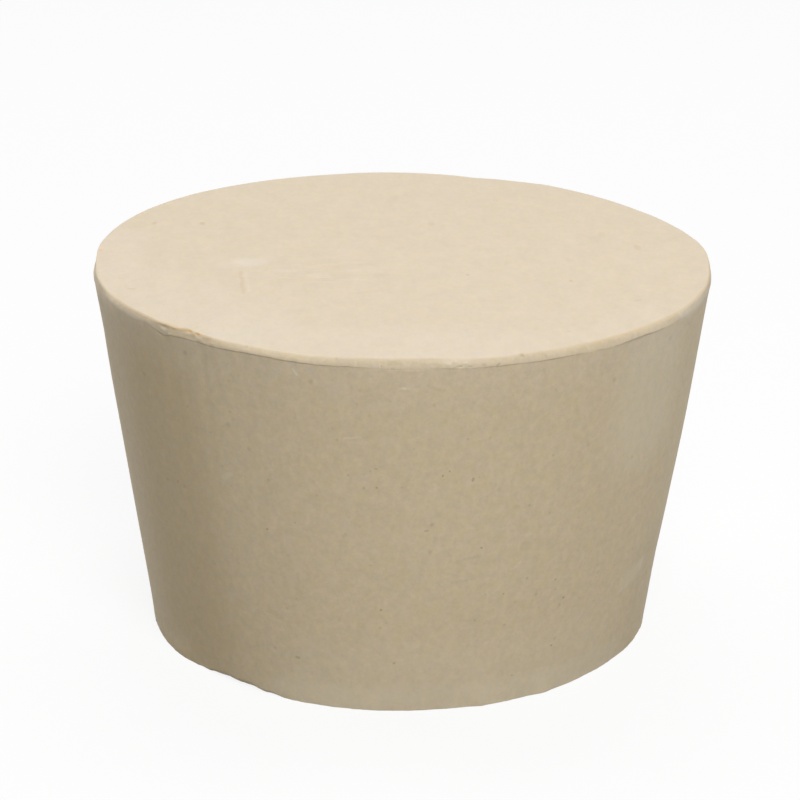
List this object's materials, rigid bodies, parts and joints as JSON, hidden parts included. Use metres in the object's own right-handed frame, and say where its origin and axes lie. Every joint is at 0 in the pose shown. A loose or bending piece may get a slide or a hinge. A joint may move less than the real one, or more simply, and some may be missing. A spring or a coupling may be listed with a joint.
{
  "type": "rubber stopper",
  "caption": "Solid tapered rubber stopper that plugs a bottle or flask neck, with a short straight land round its wide end.",
  "frame": {"origin": "centre of the narrow face, which the stopper stands on", "axes": "+Z along the plug's axis, from the narrow face to the wide face; +Y away from the side that shows the torn flash"},
  "size_m": [0.056, 0.056, 0.0345],
  "materials": {
    "rubber": "matt filled rubber, beige, with a fine mottled grain and dark specks"
  },
  "bodies": {
    "root": {"stopper": "rubber"}
  },
  "joints": []
}
